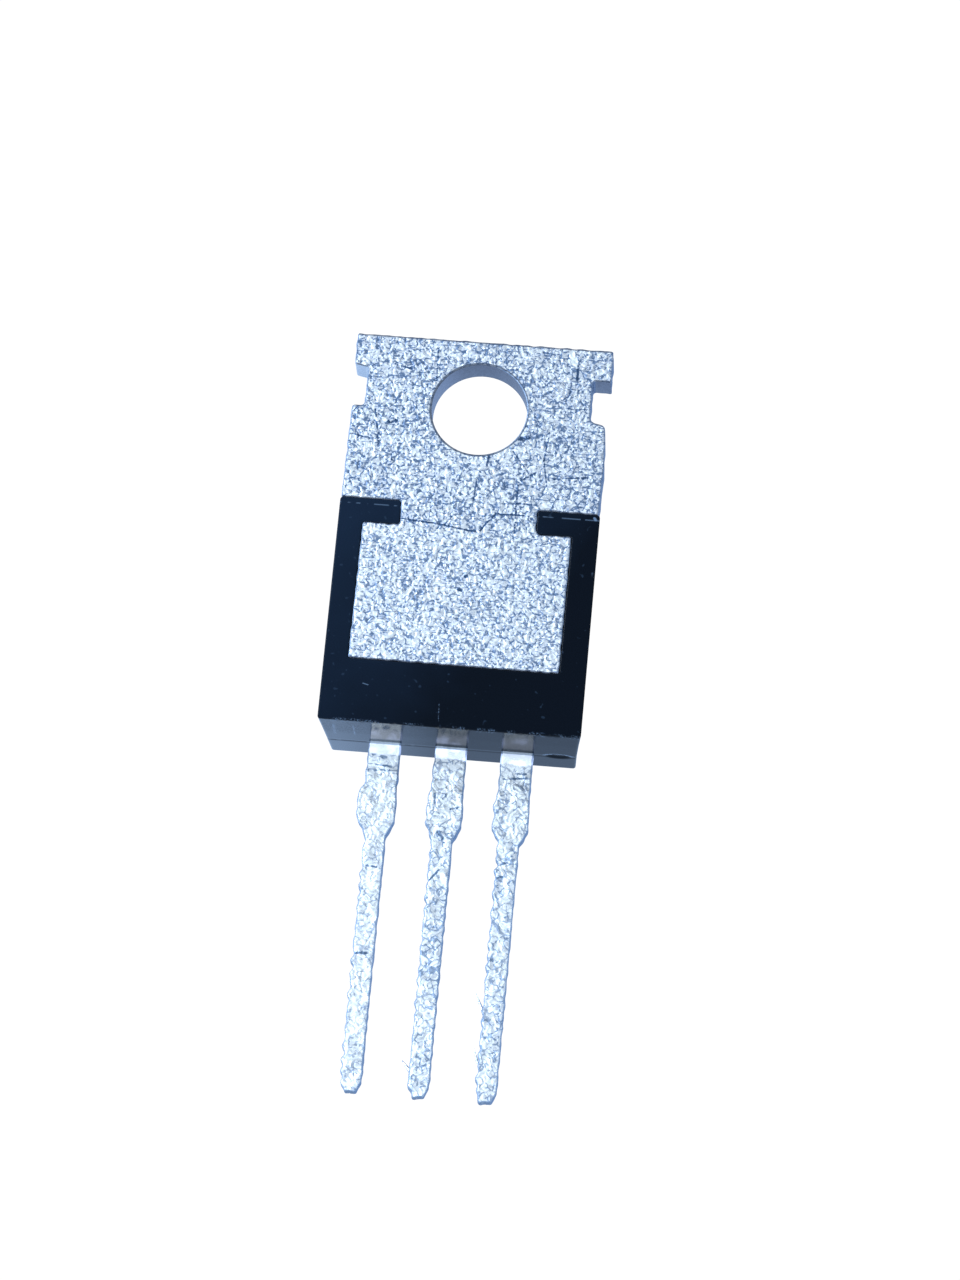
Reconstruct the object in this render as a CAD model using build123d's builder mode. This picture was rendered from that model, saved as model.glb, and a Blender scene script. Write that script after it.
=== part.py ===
from build123d import *
import os

# A triac in a TO-220 package, in millimetres.
#
# Frame: the origin is the centre of the screw hole, on the bare back face of the copper tab.
# +X runs across the tab, +Y from the leads towards the tab's free edge, +Z out of the back face.
# The part lies on its moulded front face, so depths below the back face are negative Z.
# Seen from the back with the leads down: gate on the left, MT2 in the middle, MT1 on the right.

# Copper tab, its neck and its pad
TAB_WIDTH = 10.0
TAB_THICK = 1.3
TAB_TOP = 2.81
TAB_CORNER = 0.1
HOLE_RADIUS = 1.83
NOTCH_TOP = 1.5
NOTCH_BOTTOM = -0.2
NOTCH_LEFT_DEPTH = 0.55
NOTCH_RIGHT_DEPTH = 0.7
NOTCH_CORNER = 0.12
NECK_WIDTH = 5.2
PAD_WIDTH = 8.04
PAD_TOP = -4.88
PAD_BOTTOM = -10.4
LOCK_STEP = 0.3
LOCK_DEPTH = 0.5

# Leads
LEAD_PITCH = 2.54
LEAD_THICK = 0.5
LEAD_DEPTH = 2.5
LEAD_WIDE = 1.27
LEAD_NARROW = 0.85
LEAD_TAPER_START = -15.95
LEAD_TAPER_END = -16.5
LEAD_TIP = -26.57
TIP_WIDTH = 0.5
TIP_LENGTH = 0.45
STUB_TOP = -14.95
STUB_SLOPE = 0.25
STUB_RIGHT = 0.04
GATE_STUB_LEFT = 0.22
MT2_STUB_LEFT = 0.12
MT1_STUB_LEFT = 0.12
BEND_START = -10.95
BEND_END = -12.1
BEND_SHIFT = 0.12

# Bonding posts at the inner ends of the two outer leads
POST_TOP = -10.95
POST_BOTTOM = -12.15
POST_CORNER = 0.2
POST_GAP = 0.4
GATE_POST_OUTER = 3.9
MT1_POST_OUTER = 4.2

# Chip and its solder
DIE_SIZE = 3.8
DIE_THICK = 0.26
DIE_Y = -7.4
SOLDER_THICK = 0.05
SOLDER_MARGIN = 0.1

# Bond wires
MT1_WIRE = 0.38
GATE_WIRE = 0.2
FOOT_LENGTH = 0.9
FOOT_SPREAD = 1.5
FOOT_CLEARANCE = 0.02
FOOT_CORNER = 0.08
LOOP_DEPTH = 3.55
LOOP_RADIUS = 0.5
LOOP_FROM = 0.38
LOOP_TO = 0.68
FOOT_THICK = 0.6
MT1_INNER_CHIP_END = (0.3, -7.9)
MT1_INNER_POST_END = (1.9, -11.5)
MT1_OUTER_CHIP_END = (1.25, -7.6)
MT1_OUTER_POST_END = (3.2, -11.5)
GATE_CHIP_END = (-1.3, -8.5)
GATE_POST_END = (-2.4, -11.5)

# Moulded body
BODY_WIDTH = 9.98
BODY_TOP = -3.95
BODY_BOTTOM = -12.86
BODY_THICK = 4.5
PARTING_DEPTH = 2.7
SIDE_DRAFT_TAB = 0.1
SIDE_DRAFT_PARTING = 0.19
SIDE_DRAFT_FRONT = 0.26
END_DRAFT_PARTING = 0.01
END_DRAFT_FRONT = 0.09
TOP_DRAFT_PARTING = 0.06
TOP_DRAFT_FRONT = 0.2
BODY_CORNER = 0.12
FRONT_EDGE = 0.1
GATE_SCAR_X = 4.1
GATE_SCAR_LENGTH = 1.05
GATE_SCAR_HEIGHT = 0.56
GATE_SCAR_SINK = 0.06

# Depths worked out from the above
die_face = -(TAB_THICK + SOLDER_THICK + DIE_THICK)
post_face = -(LEAD_DEPTH + LEAD_THICK)


def lead_outline(stub_left, inner_end):
    """Flat outline of one lead about X = 0, from inner_end down to the tip, as a sketch."""
    wide, narrow, tip = LEAD_WIDE / 2, LEAD_NARROW / 2, TIP_WIDTH / 2
    with BuildSketch() as outline:
        with BuildLine():
            Polyline(
                (-wide, inner_end),
                (wide, inner_end),
                (wide, STUB_TOP),
                (wide + STUB_RIGHT, STUB_TOP - STUB_SLOPE),
                (wide + STUB_RIGHT, LEAD_TAPER_START),
                (narrow, LEAD_TAPER_END),
                (narrow, LEAD_TIP + TIP_LENGTH),
                (tip, LEAD_TIP),
                (-tip, LEAD_TIP),
                (-narrow, LEAD_TIP + TIP_LENGTH),
                (-narrow, LEAD_TAPER_END),
                (-wide - stub_left, LEAD_TAPER_START),
                (-wide - stub_left, STUB_TOP - STUB_SLOPE),
                (-wide, STUB_TOP),
                close=True,
            )
        make_face()
    return outline.sketch


def outer_lead(name, side, stub_left, post_outer):
    """An outer lead: a straight flat blade that widens inside the body into a bonding post."""
    post_inner = LEAD_WIDE / 2 + POST_GAP
    post_middle = side * (post_inner + post_outer) / 2
    with BuildPart() as lead:
        with BuildSketch(Plane.XY.offset(-LEAD_DEPTH)):
            with Locations((side * LEAD_PITCH, 0)):
                add(lead_outline(stub_left, POST_BOTTOM))
            with Locations((post_middle, (POST_TOP + POST_BOTTOM) / 2)):
                RectangleRounded(post_outer - post_inner, POST_TOP - POST_BOTTOM, POST_CORNER)
        extrude(amount=-LEAD_THICK)
    lead.part.label = name
    return lead


def bond_wire(name, diameter, chip_end, post_end):
    """A looped wire with flattened feet, from a point over the chip to a point over a post."""
    start, end = Vector(*chip_end, 0), Vector(*post_end, 0)
    along = (end - start).normalized()
    lift = Vector(0, 0, -diameter / 2 - FOOT_CLEARANCE)
    on_chip, on_post = start + Vector(0, 0, die_face), end + Vector(0, 0, post_face)
    span = (end - start).length
    loop_level = Vector(0, 0, -LOOP_DEPTH)
    with BuildPart() as wire:
        with BuildLine() as route:
            FilletPolyline(
                on_chip + lift - along * (FOOT_LENGTH / 3),
                on_chip + lift + along * (FOOT_LENGTH / 2),
                start + loop_level + along * (span * LOOP_FROM),
                start + loop_level + along * (span * LOOP_TO),
                on_post + lift - along * (FOOT_LENGTH / 2),
                on_post + lift + along * (FOOT_LENGTH / 3),
                radius=[LOOP_RADIUS / 2, LOOP_RADIUS, LOOP_RADIUS / 2, LOOP_RADIUS / 4],
            )
        with BuildSketch(Plane(origin=route.line @ 0, z_dir=route.line % 0)):
            Circle(diameter / 2)
        sweep()
        for foot_centre in (on_chip, on_post):
            with BuildSketch(Plane(origin=foot_centre, x_dir=along, z_dir=(0, 0, -1))):
                RectangleRounded(FOOT_LENGTH, diameter * FOOT_SPREAD, FOOT_CORNER)
            extrude(amount=diameter * FOOT_THICK)
    wire.part.label = name
    return wire


# --- heatsink_tab: tab, neck, pad and centre lead, stamped from one dual-gauge copper strip ---
with BuildPart() as heatsink_tab:
    with BuildSketch():
        with BuildSketch(mode=Mode.PRIVATE) as tab_blank:
            with Locations((0, (TAB_TOP + BODY_TOP) / 2)):
                Rectangle(TAB_WIDTH, TAB_TOP - BODY_TOP)
            for side, depth in ((-1, NOTCH_LEFT_DEPTH), (1, NOTCH_RIGHT_DEPTH)):
                with Locations((side * TAB_WIDTH / 2, (NOTCH_TOP + NOTCH_BOTTOM) / 2)):
                    Rectangle(2 * depth, NOTCH_TOP - NOTCH_BOTTOM, mode=Mode.SUBTRACT)
            free_edge = tab_blank.vertices().group_by(Axis.Y)[-1]
            notch_corners = [
                v
                for v in tab_blank.vertices()
                if NOTCH_BOTTOM - NOTCH_CORNER < v.Y < NOTCH_TOP + NOTCH_CORNER
            ]
            fillet(free_edge, TAB_CORNER)
            fillet(notch_corners, NOTCH_CORNER)
            Circle(HOLE_RADIUS, mode=Mode.SUBTRACT)
        add(tab_blank.sketch)
        with Locations((0, (BODY_TOP + PAD_TOP) / 2)):
            Rectangle(NECK_WIDTH, BODY_TOP - PAD_TOP)
        with Locations((0, (PAD_TOP + PAD_BOTTOM) / 2)):
            Rectangle(PAD_WIDTH, PAD_TOP - PAD_BOTTOM)
    extrude(amount=-TAB_THICK)
    # Buried step round the pad that the plastic grips
    with BuildSketch(Plane.XY.offset(-LOCK_DEPTH)):
        with Locations((0, (PAD_TOP + PAD_BOTTOM - LOCK_STEP) / 2)):
            Rectangle(PAD_WIDTH + 2 * LOCK_STEP, PAD_TOP - PAD_BOTTOM + LOCK_STEP)
    extrude(amount=-(TAB_THICK - LOCK_DEPTH))
    # Bend from the pad's front side to the level of the leads
    with BuildSketch(Plane.YZ) as bend_profile:
        with BuildLine():
            Polyline(
                (PAD_BOTTOM, -TAB_THICK + LEAD_THICK),
                (BEND_START, -TAB_THICK + LEAD_THICK),
                (BEND_END, -LEAD_DEPTH),
                (BODY_BOTTOM, -LEAD_DEPTH),
                (BODY_BOTTOM, -LEAD_DEPTH - LEAD_THICK),
                (BEND_END - BEND_SHIFT, -LEAD_DEPTH - LEAD_THICK),
                (BEND_START - BEND_SHIFT, -TAB_THICK),
                (PAD_BOTTOM, -TAB_THICK),
                close=True,
            )
        make_face()
    extrude(amount=LEAD_WIDE / 2, both=True)
    with BuildSketch(Plane.XY.offset(-LEAD_DEPTH)):
        add(lead_outline(MT2_STUB_LEFT, BODY_BOTTOM))
    extrude(amount=-LEAD_THICK)
heatsink_tab.part.label = "heatsink_tab"

# --- the two outer leads ---
gate_lead = outer_lead("gate_lead", -1, GATE_STUB_LEFT, GATE_POST_OUTER)
mt1_lead = outer_lead("mt1_lead", 1, MT1_STUB_LEFT, MT1_POST_OUTER)

# --- die_solder and triac_die: the chip soldered to the front side of the pad ---
with BuildPart() as die_solder:
    with BuildSketch(Plane.XY.offset(-TAB_THICK)):
        with Locations((0, DIE_Y)):
            Rectangle(DIE_SIZE + 2 * SOLDER_MARGIN, DIE_SIZE + 2 * SOLDER_MARGIN)
    extrude(amount=-SOLDER_THICK)
die_solder.part.label = "die_solder"

with BuildPart() as triac_die:
    with BuildSketch(Plane.XY.offset(-TAB_THICK - SOLDER_THICK)):
        with Locations((0, DIE_Y)):
            Rectangle(DIE_SIZE, DIE_SIZE)
    extrude(amount=-DIE_THICK)
triac_die.part.label = "triac_die"

# --- bond wires: two thick ones from the chip to the MT1 post, a thin one to the gate post ---
mt1_wire_inner = bond_wire("mt1_wire_inner", MT1_WIRE, MT1_INNER_CHIP_END, MT1_INNER_POST_END)
mt1_wire_outer = bond_wire("mt1_wire_outer", MT1_WIRE, MT1_OUTER_CHIP_END, MT1_OUTER_POST_END)
gate_wire = bond_wire("gate_wire", GATE_WIRE, GATE_CHIP_END, GATE_POST_END)

# --- mould_body: epoxy moulded round all of the above, drafted away from its parting plane ---
with BuildPart() as mould_body:
    # depth, draft of each side wall, of the lead-end wall, of the wall across the tab
    levels = (
        (0, 0, 0, 0),
        (TAB_THICK, SIDE_DRAFT_TAB, 0, 0),
        (PARTING_DEPTH, SIDE_DRAFT_PARTING, END_DRAFT_PARTING, TOP_DRAFT_PARTING),
        (BODY_THICK - FRONT_EDGE, SIDE_DRAFT_FRONT, END_DRAFT_FRONT, TOP_DRAFT_FRONT),
        (
            BODY_THICK,
            SIDE_DRAFT_FRONT + FRONT_EDGE,
            END_DRAFT_FRONT + FRONT_EDGE,
            TOP_DRAFT_FRONT + FRONT_EDGE,
        ),
    )
    for upper, lower in zip(levels, levels[1:]):
        for depth, side_draft, end_draft, top_draft in (upper, lower):
            top, bottom = BODY_TOP - top_draft, BODY_BOTTOM + end_draft
            with BuildSketch(Plane.XY.offset(-depth)):
                with Locations((0, (top + bottom) / 2)):
                    RectangleRounded(BODY_WIDTH - 2 * side_draft, top - bottom, BODY_CORNER)
        loft(ruled=True)
    # Shallow scar where the epoxy ran in, across the parting line of the lead-end wall
    with BuildSketch(Plane.XZ.offset(-BODY_BOTTOM)):
        with Locations((GATE_SCAR_X, -PARTING_DEPTH)):
            SlotOverall(GATE_SCAR_LENGTH, GATE_SCAR_HEIGHT)
    extrude(amount=-(GATE_SCAR_SINK + END_DRAFT_PARTING), mode=Mode.SUBTRACT)
    buried = (
        heatsink_tab,
        gate_lead,
        mt1_lead,
        die_solder,
        triac_die,
        mt1_wire_inner,
        mt1_wire_outer,
        gate_wire,
    )
    for piece in buried:
        add(piece.part, mode=Mode.SUBTRACT)
mould_body.part.label = "mould_body"

os.makedirs("parts", exist_ok=True)
for piece in (*buried, mould_body):
    export_step(piece.part, f"parts/{piece.part.label}.step")
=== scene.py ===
import math

import bmesh
import bpy
import numpy as np
from mathutils import Matrix, Vector, kdtree
from mathutils.geometry import delaunay_2d_cdt


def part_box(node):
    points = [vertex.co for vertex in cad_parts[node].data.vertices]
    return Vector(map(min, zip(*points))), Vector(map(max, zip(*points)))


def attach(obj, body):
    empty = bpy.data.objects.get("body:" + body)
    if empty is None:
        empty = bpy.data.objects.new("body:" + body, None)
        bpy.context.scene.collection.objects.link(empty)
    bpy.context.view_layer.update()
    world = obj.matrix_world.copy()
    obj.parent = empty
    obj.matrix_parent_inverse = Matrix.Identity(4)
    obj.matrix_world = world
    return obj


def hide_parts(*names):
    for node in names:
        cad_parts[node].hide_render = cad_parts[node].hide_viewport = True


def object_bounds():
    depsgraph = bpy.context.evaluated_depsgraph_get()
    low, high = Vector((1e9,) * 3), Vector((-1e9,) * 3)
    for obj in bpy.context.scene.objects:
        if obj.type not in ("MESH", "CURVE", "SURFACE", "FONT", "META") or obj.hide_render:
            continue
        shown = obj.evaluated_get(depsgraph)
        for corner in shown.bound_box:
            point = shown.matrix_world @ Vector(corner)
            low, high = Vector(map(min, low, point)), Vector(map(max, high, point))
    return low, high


# The looks of a triac in a TO-220 package, lying on its moulded front with the bare back up.
# Outlines are in millimetres in the part's own frame and are scaled to metres as meshes are made.

MM = 0.001

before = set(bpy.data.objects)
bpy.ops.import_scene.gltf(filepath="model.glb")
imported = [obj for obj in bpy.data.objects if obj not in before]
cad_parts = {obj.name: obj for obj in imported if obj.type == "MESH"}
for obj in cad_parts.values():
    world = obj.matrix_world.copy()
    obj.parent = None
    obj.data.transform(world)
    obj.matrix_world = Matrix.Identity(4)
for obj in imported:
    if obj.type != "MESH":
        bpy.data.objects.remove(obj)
cad_low, cad_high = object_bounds()


def box_mm(node):
    """Lowest and highest corner of a CAD node, in millimetres."""
    low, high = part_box(node)
    return low / MM, high / MM


TAB_LOW, TAB_HIGH = box_mm("heatsink_tab")
BODY_LOW, BODY_HIGH = box_mm("mould_body")
LEAD_LOW, LEAD_HIGH = box_mm("gate_lead")
TAB_TOP, TIP = TAB_HIGH.y, TAB_LOW.y
BODY_TOP, BODY_END = BODY_HIGH.y, BODY_LOW.y
LEAD_TOP, LEAD_UNDER = LEAD_HIGH.z, LEAD_LOW.z
TAB_THICK = 1.3
HOLE_RADIUS = 1.83
LEAD_PITCH, LEAD_HALF = 2.54, 0.635
# Neck and pad, from the neck's left top round to its right top: x, y, corner radius
SHOULDER = -4.88
PAD = (
    (-2.66, BODY_TOP, 0.1),
    (-2.62, SHOULDER, 0.12),
    (-4.05, SHOULDER, 0.12),
    (-4.08, -10.38, 0.1),
    (3.96, -10.4, 0.1),
    (3.98, SHOULDER, 0.12),
    (2.6, SHOULDER, 0.22),
    (2.6, BODY_TOP, 0.1),
)
# Gap between pad and epoxy, and the corner radius of the epoxy at the neck
PAD_GAP, NECK_RADIUS = 0.01, 0.02
# Height of the parting line, and the middle and half sizes of the oval scar on it
PARTING = -2.7
SCAR_X, SCAR_LONG, SCAR_HIGH = 4.1, 0.5, 0.26
# Where the flash line crosses the corner blocks, along Y
FLASH = -4.17
# The leads narrow between these two places along Y
WIDE, NARROW = -15.8, -16.4
# Length of the painted highlight zone of a lead just clear of the body, and of its fade
BRIGHT_LONG, BRIGHT_FADE = 0.44, 0.1
# Distance of points along an edge, and across the outer faces of the metal
EDGE_STEP, FACE_STEP = 0.05, 0.055

# ---------------------------------------------------------------- node trees written as Python


class Value:
    """A socket on which sums are written as on a number. Each operator adds one Math node."""

    def __init__(self, graph, socket):
        self.graph, self.socket = graph, socket

    def math(self, operation, *others):
        return self.graph.node("ShaderNodeMath", {"operation": operation}, self, *others)[0]

    def __add__(self, other):
        return self.math("ADD", other)

    def __sub__(self, other):
        return self.math("SUBTRACT", other)

    def __rsub__(self, other):
        return self.graph.node("ShaderNodeMath", {"operation": "SUBTRACT"}, other, self)[0]

    def __mul__(self, other):
        return self.math("MULTIPLY", other)

    def __truediv__(self, other):
        return self.math("DIVIDE", other)

    def __rtruediv__(self, other):
        return self.graph.node("ShaderNodeMath", {"operation": "DIVIDE"}, other, self)[0]

    __radd__, __rmul__ = __add__, __mul__

    def clip(self):
        return self.math("MAXIMUM", 0.0).math("MINIMUM", 1.0)

    def step(self, low, high):
        """0 below low, 1 above high, smooth between. low may be the larger of the two."""
        share = ((self - low) / (high - low)).clip()
        return share * share * (3 - 2 * share)


class Graph:
    """A node tree being written."""

    def __init__(self, tree):
        self.tree = tree

    def node(self, kind, settings=None, *inputs, **named):
        """Adds a node: its settings first, then its sockets by place or name. Returns its outputs."""
        made = self.tree.nodes.new(kind)
        for key, value in (settings or {}).items():
            if key == "stops":
                ramp = made.color_ramp
                while len(ramp.elements) < len(value):
                    ramp.elements.new(0.5)
                for element, (place, colour) in zip(ramp.elements, value):
                    element.position, element.color = place, (*colour, 1)
            else:
                setattr(made, key, value)
        sockets = list(enumerate(inputs))
        sockets += [(key.replace("_", " "), value) for key, value in named.items()]
        for key, value in sockets:
            if isinstance(value, Value):
                self.tree.links.new(value.socket, made.inputs[key])
            else:
                made.inputs[key].default_value = value
        return Outputs(self, made)

    def vector(self, operation, *inputs):
        return self.node("ShaderNodeVectorMath", {"operation": operation}, *inputs)[0]

    def stretch(self, place, factors, shift=(0, 0, 0)):
        """place times factors along each axis, plus shift."""
        return self.vector("MULTIPLY_ADD", place, factors, shift)

    def noise(self, place, size, detail=0.0, rough=0.5, shift=(0, 0, 0)):
        """Smooth noise of about 0 to 1 whose blobs are size millimetres across."""
        moved = self.vector("ADD", place, shift)
        return self.node(
            "ShaderNodeTexNoise", None, Vector=moved, Scale=1 / size, Detail=detail, Roughness=rough
        )[0]

    def mix(self, share, first, second):
        """One colour changing into another, each a socket or a plain colour."""
        first, second = (c if isinstance(c, Value) else (*c, 1) for c in (first, second))
        made = self.node("ShaderNodeMix", {"data_type": "RGBA"}, share)
        for index, colour in ((6, first), (7, second)):
            socket = made.made.inputs[index]
            if isinstance(colour, Value):
                self.tree.links.new(colour.socket, socket)
            else:
                socket.default_value = colour
        return made[2]


class Outputs:
    """The outputs of a node, by name or place."""

    def __init__(self, graph, made):
        self.graph, self.made = graph, made

    def __getitem__(self, key):
        return Value(self.graph, self.made.outputs[key])


# ---------------------------------------------------------------- patterns of the tinned metal


def line_mask(g, place, start, end, width):
    """1 on a straight scratch from start to end across the back face, fading over width."""
    run = Vector((*end, 0)) - Vector((*start, 0))
    flat = g.vector("MULTIPLY_ADD", place, (1, 1, 0), (-start[0], -start[1], 0))
    along = g.node("ShaderNodeVectorMath", {"operation": "DOT_PRODUCT"}, flat, tuple(run))["Value"]
    share = (along / run.length_squared).clip()
    foot = g.node("ShaderNodeVectorMath", {"operation": "SCALE"}, tuple(run), Scale=share)[0]
    away = g.node("ShaderNodeVectorMath", {"operation": "DISTANCE"}, flat, foot)["Value"]
    return away.step(width, width * 0.3)


# Marks on the back of the tab and pad: ends, width and strength. A minus strength is a bright one.
MARKS = (
    ((1.75, -3.0), (1.78, -4.9), 0.06, 0.5),
    ((1.75, -3.7), (2.5, -3.72), 0.05, 0.5),
    ((-4.0, -0.3), (-3.82, -1.25), 0.05, 0.6),
    ((-3.82, -1.25), (-3.75, -1.8), 0.05, 0.5),
    ((-3.2, -2.1), (-3.15, -2.75), 0.05, 0.5),
    ((2.8, -0.6), (2.65, -1.9), 0.05, 0.5),
    ((2.65, -1.9), (2.85, -2.9), 0.05, 0.5),
    ((1.45, -1.15), (1.95, -1.0), 0.13, 0.7),
    ((0.55, -1.85), (0.48, -2.35), 0.07, 0.6),
    ((1.45, -1.6), (2.04, -2.36), 0.045, 0.5),
    ((1.85, -2.77), (2.38, -2.41), 0.05, 0.5),
    ((2.97, -2.64), (4.39, -2.46), 0.05, 0.5),
    ((3.33, 0.29), (4.3, 0.32), 0.05, 0.45),
    ((3.3, 0.6), (3.5, 1.1), 0.05, 0.4),
    ((0.15, -2.9), (0.1, -3.8), 0.05, 0.5),
    ((-3.4, 1.6), (-2.6, 1.45), 0.05, 0.5),
    ((-1.8, 2.4), (-1.75, 1.1), 0.05, 0.45),
    ((3.65, 2.05), (3.65, 1.5), 0.07, 0.6),
    ((-3.4, -0.75), (-3.2, -0.7), 0.11, 0.8),
    ((0.08, -6.8), (0.12, -6.8), 0.1, 0.8),
    ((-0.15, -7.35), (-0.05, -7.35), 0.09, 0.8),
    ((-4.9, -1.35), (-4.0, -1.5), 0.05, 0.45),
    ((-0.9, -4.75), (-0.6, -4.35), 0.05, 0.4),
    ((3.35, 2.6), (3.5, 2.2), 0.16, -0.7),
    ((-1.35, 2.3), (-0.95, 1.95), 0.08, -0.5),
    ((-1.45, -1.85), (-0.85, -2.3), 0.11, -0.6),
    ((-2.5, -3.45), (-2.05, -3.95), 0.09, -0.5),
    ((2.75, -3.6), (2.85, -3.75), 0.12, -0.6),
    ((-3.2, -2.95), (-2.8, -3.1), 0.1, -0.4),
    ((-4.75, -3.9), (-3.5, -3.93), 0.07, -0.6),
)
# Hairline across the neck between the two corner blocks
HAIRLINE = (
    (-2.7, -4.65),
    (-0.9, -4.8),
    (0.0, -4.95),
    (0.45, -4.95),
    (0.6, -4.7),
    (1.0, -4.2),
    (2.55, -4.17),
)
# Creases across the leads, and where the tin ran
CREASES = (
    ((-2.95, -13.35), (-2.45, -13.45), 0.1, 0.8),
    ((-3.05, -13.75), (-2.2, -13.8), 0.06, 0.8),
    ((-3.1, -14.0), (-2.0, -13.95), 0.05, 0.6),
    ((-2.75, -17.75), (-2.4, -17.8), 0.06, 0.8),
    ((-2.9, -21.2), (-2.4, -21.15), 0.07, 0.9),
    ((-0.45, -14.75), (-0.42, -15.1), 0.08, 0.9),
    ((-0.05, -14.7), (-0.1, -14.9), 0.1, 0.9),
    ((0.2, -15.3), (0.5, -15.2), 0.06, 0.8),
    ((-0.35, -18.15), (0.1, -17.55), 0.06, 0.8),
    ((-0.2, -16.2), (0.1, -16.6), 0.1, 0.6),
    ((2.1, -13.95), (3.1, -13.85), 0.07, 0.8),
    ((2.55, -13.7), (2.95, -13.7), 0.05, 0.8),
    ((2.2, -17.35), (2.55, -17.2), 0.08, 0.9),
    ((2.2, -17.85), (2.4, -17.8), 0.06, 0.8),
)


def tin_crests(g, place):
    """Meandering crests of solidified tin, from 0 in the grooves to 1 on top."""
    drift = g.node(
        "ShaderNodeTexNoise", None, Vector=place, Scale=1 / 0.4, Detail=1.0, Roughness=0.5
    )["Color"]
    moved = g.vector("MULTIPLY_ADD", drift, (0.2, 0.2, 0.2), place)
    folds = g.noise(moved, 0.27, 0.5)
    return (folds * 24).math("SINE") * 0.5 + 0.5


def thread(g, place, size, width, shift):
    """1 along thin winding lines, where a smooth noise passes through its middle value."""
    return (g.noise(place, size, 0.8, 0.5, shift) - 0.5).math("ABSOLUTE").step(width, width * 0.3)


def cracks(g, place, size, width):
    """1 along the thin broken seams of an uneven network whose cells are about size across."""
    drift = g.node(
        "ShaderNodeTexNoise", None, Vector=place, Scale=1 / size, Detail=1.0, Roughness=0.5
    )["Color"]
    moved = g.vector("MULTIPLY_ADD", drift, (size * 0.9,) * 3, place)
    seams = g.node(
        "ShaderNodeTexVoronoi", {"feature": "DISTANCE_TO_EDGE"}, Vector=moved, Scale=1 / size
    )["Distance"]
    gate = g.noise(place, size * 0.8, 0.0, 0.5, (1, 2, 6)).step(0.41, 0.48)
    return seams.step(width, width * 0.5) * gate


def fine_scratches(g, place):
    """Short dark rubs that run along and across the part."""
    upright = g.noise(g.stretch(place, (11, 1.4, 1)), 1.0, 1.0, 0.5, (7, 3, 0)).step(0.63, 0.69)
    level = g.noise(g.stretch(place, (1.6, 13, 1)), 1.0, 1.0, 0.5, (2, 9, 0)).step(0.59, 0.66)
    return (upright * 0.7).math("MAXIMUM", level)


def dark_curls(g, place):
    """Thin dark curls between the crests."""
    gate = g.noise(place, 0.28, 0.0, 0.5, (3, 5, 1)).step(0.42, 0.48)
    return thread(g, place, 0.26, 0.055, (9, 4, 1)) * gate


def bright_worms(g, place):
    """Short bright curls of tin."""
    gate = g.noise(place, 0.17, 0.0, 0.5, (6, 1, 3)).step(0.4, 0.5)
    return thread(g, place, 0.2, 0.1, (2, 7, 4)) * gate


# ---------------------------------------------------------------- materials


def feed(g, socket, value):
    g.tree.links.new(value.socket, socket)


def bare_graph(owner):
    """An empty node tree on a material or on the world."""
    owner.use_nodes = True
    owner.node_tree.nodes.clear()
    return Graph(owner.node_tree)


def new_material(name):
    """A material with its tree, the sockets of its shader, and the place in millimetres."""
    material = bpy.data.materials.new(name)
    g = bare_graph(material)
    shader = g.node("ShaderNodeBsdfPrincipled")
    out = g.node("ShaderNodeOutputMaterial")
    feed(g, out.made.inputs["Surface"], shader[0])
    place = g.node("ShaderNodeTexCoord")["Object"]
    place = g.stretch(place, (1 / MM,) * 3)
    return material, g, shader.made.inputs, place


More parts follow.
